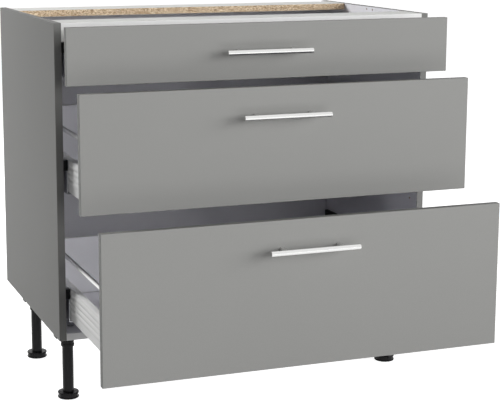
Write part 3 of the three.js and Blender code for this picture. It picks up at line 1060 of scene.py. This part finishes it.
def makeFront(name, body):
    node = "drawer_front_" + name
    f = frontBoard
    low, high = box[node]
    front = makeBoard(node + "_board", node, f["round"])
    fit(paintBoard(front, node, 1, greyLaminate, greyEdge), body, "grey_laminate", node)
    spots = [(x, high.y, z) for x in (low.x + f["padIn"], high.x - f["padIn"])
             for z in (low.z + f["padFromEnd"], high.z - f["padFromEnd"])]
    pad = addRod("pad", f["padRadius"], 0, f["padHeight"], facets=32)
    roundEdges(pad, f["padRound"], 3, topRim(f["padHeight"]))
    paint(pad, whitePlastic)
    fit(scatter(pad, "buffers_" + name, spots, faceBack), body, "white_board")
    bpy.data.objects.remove(pad)


def makeBase(name, body):
    node = "drawer_base_" + name
    bottom = makeBoard(node + "_board", node, baseRound)
    fit(paintBoard(bottom, node, 2, shadedWhiteMelamine, rawChipboard), body, "white_board", node)


def makeBack(name, body, baseTop):
    node = "drawer_back_" + name
    past = drawerBack["past"]
    low, high = box[node]
    back = makeBoard(node + "_board", node)
    rebate = addBlock("rebate", (low.x - past, low.y - past, baseTop - past),
                      (high.x + past, low.y + drawerBack["rebateDeep"], baseTop + drawerBack["rebateOver"]))
    cutAway(back, rebate)
    fit(paintBoard(back, node, 1, shadedWhiteMelamine, whiteEdge), body, "white_board", node)


def makeMetalSide(node, body, side, base):
    m = metalSide
    low, high = box[node]
    section = [(m["outer"] + m["foot"], 0, 0), (m["outer"], 0, m["fold"])]
    for n in range(m["ribs"] * m["ribSteps"] + 1):
        turn = n / m["ribSteps"]
        wave = ((1 - math.cos(2 * math.pi * turn)) / 2) ** m["ribCurve"]
        section.append((m["outer"] - m["ribDepth"] * wave, m["ribStart"] + m["ribPitch"] * turn, 0))
    section += [
        (m["outer"], m["height"], m["lip"]), (m["inner"], m["height"], m["lip"]),
        (m["inner"], 0, 0), (m["inner"] + m["flange"], 0, 0),
    ]
    pressed = drawOut(node + "_pressed", foldedSection(placed(section, side, base), 4),
                      low.y + m["endGap"], high.y - m["endGap"], m["sheet"], side)
    fit(paint(pressed, whitePowder), body, "white_steel", node)


def makeShelf(name, body, side, base, low, high):
    # the ledge inside the hollow wall, which rides on the middle runner
    s = shelfShape
    wall = metalSide["inner"] - s["wallGap"]
    section = [(wall, s["top"], 0), (wall, s["bottom"], s["fold"]), (wall - s["reach"], s["bottom"], 0)]
    shelf = drawOut(name, foldedSection(placed(section, side, base)),
                    low.y + s["front"], high.y - s["back"], s["sheet"], 0)
    fit(paint(shelf, zincPlate), body, "zinc_steel")


def makeCover(name, body, side, base, wall, front):
    c = coverShape
    outside = wall - side * c["thick"]
    cover = addBlock(name, (wall, front + c["front"][0], base + c["height"][0]),
                     (outside, front + c["front"][1], base + c["height"][1]))
    roundEdges(cover, c["round"], 8, along("X"))
    roundEdges(cover, c["edgeRound"], 2, lambda at, way: abs(at.x - outside) < boards["endSkin"])
    fit(paint(cover, whitePlastic), body, "white_steel")


def makeBackBracket(name, body, side, base, wall, behind):
    b = bracketShape
    end, face = wall - side * b["width"], behind + b["thick"]
    plate = addBlock(name, (wall, behind, base + b["height"][0]), (end, face, base + b["height"][1]))
    roundEdges(plate, b["round"], 4, lambda at, way: (
        abs(way.y) > modelling["square"] and abs(at.x - end) < b["round"]
    ))
    paint(plate, zincPlate)
    spots = [(wall - side * b["screwIn"], face, base + z) for z in b["screwHeights"]]
    screws = scatter(smallScrew, "bracket_screws", spots, faceBack)
    fit(joinAs(name, plate, screws), body, "zinc_steel")


def makeGallery(ending, body, side, base, back, top):
    g = gallery
    node = "gallery_rod_" + ending
    low, high = box[node]
    centre = ((low.x + high.x) / 2, 0, (low.z + high.z) / 2)
    rod = addRod(node + "_drawn", g["radius"], low.y, high.y, "Y", centre)
    roundEdges(rod, g["chamfer"], 2, across("Y"))
    fit(paint(rod, satinRod), body, "brushed_steel", node)
    ringEnd = low.y + g["socketLength"]
    ring = addRod("rod_socket_" + ending, g["socketRadius"], low.y, ringEnd, "Y", centre)
    roundEdges(ring, g["socketRound"], 4, lambda at, way: abs(way.y) < 0.1 and at.y > ringEnd - 0.006)
    fit(paint(ring, whitePlastic), body, "white_steel")
    outer = side * (innerFace - metalSide["outer"] - metalSide["sheet"])
    inner, bottom = side * (innerFace - metalSide["inner"]), base + g["holderBottom"]
    holder = addBlock("rod_holder_" + ending, (outer, back - g["holderLength"], bottom), (inner, back, top))
    roundEdges(holder, g["holderRound"], 4, lambda at, way: (
        abs(way.y) > modelling["square"] and at.z > top - boards["rim"]
    ))
    roundEdges(holder, g["holderEdge"], 2, lambda at, way: at.z > bottom + g["holderSeat"])
    fit(paint(holder, whitePowder), body, "white_steel")


for name in drawerNames:
    body = "drawer_" + name
    baseLow, baseHigh = box["drawer_base_" + name]
    base, behind = baseLow.z, box["drawer_back_" + name][1].y
    makeFront(name, body)
    makeBase(name, body)
    makeBack(name, body, baseHigh.z)
    for word, side in sides.items():
        ending = name + "_" + word
        node = "drawer_side_" + ending
        low, high = box[node]
        wall = side * (innerFace - metalSide["inner"])
        makeMetalSide(node, body, side, base)
        makeShelf("drawer_shelf_" + ending, body, side, base, low, high)
        makeCover("side_cover_" + ending, body, side, base, wall, low.y)
        makeBackBracket("back_bracket_" + ending, body, side, base, wall, behind)
        if name != "top":
            makeGallery(ending, body, side, base, high.y, high.z)
print("drawers made")


handle = {"chamfer": 0.0009, "barFacets": 64, "postRadius": 0.005, "postSunk": 0.001,
          "postRound": 0.0006, "postFacets": 48}


def makeHandle(name):
    body, h = "drawer_" + name, handle
    low, high = box["handle_bar_" + name]
    y, z = (low.y + high.y) / 2, (low.z + high.z) / 2
    bar = addRod("handle_bar_" + name + "_ground", (high.z - low.z) / 2, low.x, high.x, "X",
                 (0, y, z), h["barFacets"])
    roundEdges(bar, h["chamfer"], 2, across("X"))
    fit(paint(bar, satinBar), body, "brushed_steel", "handle_bar_" + name)
    frontBack = box["drawer_front_" + name][1].y
    spots = []
    for word in sides:
        node = "handle_post_" + name + "_" + word
        postLow, postHigh = box[node]
        x, foot = (postLow.x + postHigh.x) / 2, postHigh.y
        post = addRod(node + "_turned", h["postRadius"], y + h["postSunk"], foot, "Y", (x, 0, z),
                      h["postFacets"])
        roundEdges(post, h["postRound"], 2, lambda at, way: abs(way.y) < 0.1 and at.y > foot - 0.001)
        fit(paint(post, satinRod), body, "brushed_steel", node)
        spots.append((x, frontBack, z))
    fit(scatter(smallScrew, "handle_screws_" + name, spots, faceBack), body, "zinc_steel")


for name in drawerNames:
    makeHandle(name)
print("handles made")

for template in (screw, smallScrew, cam):
    bpy.data.objects.remove(template)


def seenRays(tree):  # 1 for the rays that show the background: straight, mirrored and through glass
    path = addNode(tree, "ShaderNodeLightPath").outputs
    mirrored = sums(tree, "MAXIMUM", path["Is Camera Ray"], path["Is Glossy Ray"])
    return sums(tree, "MAXIMUM", mirrored, path["Is Transmission Ray"])


# the floor glows white to what looks at it, a little less near the cabinet
stage = {"reach": 40.0, "colour": (0.55, 0.55, 0.55, 1), "rough": 0.9, "gloss": 0.1,
         "lift": 0.90, "farLift": 1.0, "near": 1.0, "far": 3.0}
bpy.ops.object.select_all(action="DESELECT")
bpy.ops.mesh.primitive_plane_add(size=2 * stage["reach"], location=(0, 0, 0))
floor = settle(bpy.context.object)
floor.name = "floor"
material, tree, shader = newMaterial(
    "floorPaint", Base_Color=stage["colour"], Roughness=stage["rough"], Specular_IOR_Level=stage["gloss"]
)
where = addNode(tree, "ShaderNodeTexCoord").outputs["Object"]
away = addNode(tree, "ShaderNodeVectorMath", {0: where}, operation="LENGTH").outputs["Value"]
lift = addNode(tree, "ShaderNodeMapRange", {
    "Value": away, "From Min": stage["near"], "From Max": stage["far"],
    "To Min": stage["lift"], "To Max": stage["farLift"],
}).outputs[0]
glow = addNode(tree, "ShaderNodeEmission", {"Strength": sums(tree, "MULTIPLY", seenRays(tree), lift)})
total = addNode(tree, "ShaderNodeAddShader", {0: shader.outputs[0], 1: glow.outputs[0]})
tree.links.new(total.outputs[0], tree.nodes["Material Output"].inputs["Surface"])
floor.data.materials.append(material)

sky = {"colour": (0.96, 0.96, 1.0, 1), "strength": 0.02}
world = bpy.data.worlds.new("studio")
bpy.context.scene.world = world
world.use_nodes = True
tree = world.node_tree
shade = tree.nodes["Background"]
shade.inputs["Color"].default_value = sky["colour"]
shade.inputs["Strength"].default_value = sky["strength"]
white = addNode(tree, "ShaderNodeBackground", {"Color": (1, 1, 1, 1), "Strength": 1.0})
both = addNode(tree, "ShaderNodeMixShader", {0: seenRays(tree), 1: shade.outputs[0], 2: white.outputs[0]})
tree.links.new(both.outputs[0], tree.nodes["World Output"].inputs["Surface"])

middle = (0, -0.1, 0.48)
lamps = {
    "key": {"place": (1.85, -8.82, 1.73), "aim": middle, "size": (5.8, 3.4), "power": 280},
    "right": {"place": (12.8, -9.1, 3.8), "aim": middle, "size": (12.0, 7.0), "power": 2650},
    "left": {"place": (-2.03, 2.91, 2.58), "aim": middle, "size": (1.2, 1.2), "power": 150},
    "top": {"place": (0, -0.3, 4.7), "aim": middle, "size": (3.0, 3.0), "power": 6},
    "low": {"place": (0.9, -2.4, 0.03), "aim": (0.9, -2.4, 1.0), "size": (3.4, 2.0), "power": 30},
}
for name, lamp in lamps.items():
    bpy.ops.object.select_all(action="DESELECT")
    bpy.ops.object.light_add(type="AREA", location=lamp["place"])
    light = bpy.context.object
    light.name = name
    light.data.shape = "RECTANGLE"
    light.data.size, light.data.size_y = lamp["size"]
    light.data.energy = lamp["power"]
    heading = Vector(lamp["aim"]) - Vector(lamp["place"])
    light.rotation_euler = heading.to_track_quat("-Z", "Y").to_euler()
    light.visible_camera = False
    light.visible_glossy = False  # metal mirrors the white studio alone

view = {
    "place": (-1.14843, -2.98217, 1.09081),
    "turn": 19.705,  # degrees to the right of straight on
    "tilt": -10.004,
    "roll": -0.044,
    "sensor": 36,
    "lens": 99.54,
    "shift": (0.0956, -0.0746),
    "clip": (0.05, 100),
}
bpy.ops.object.camera_add(location=view["place"])
camera = bpy.context.object
camera.name = "photo_camera"
camera.data.sensor_width = view["sensor"]
camera.data.lens = view["lens"]
camera.data.shift_x, camera.data.shift_y = view["shift"]
camera.data.clip_start, camera.data.clip_end = view["clip"]
heading = Matrix.Rotation(math.radians(-view["turn"]), 3, "Z")
pitch = Matrix.Rotation(math.radians(90 + view["tilt"]), 3, "X")
roll = Matrix.Rotation(math.radians(view["roll"]), 3, "Z")
camera.rotation_euler = (heading @ pitch @ roll).to_euler()
bpy.context.scene.camera = camera
bpy.context.scene.view_settings.view_transform = "Standard"
print("stage, lamps and camera placed")
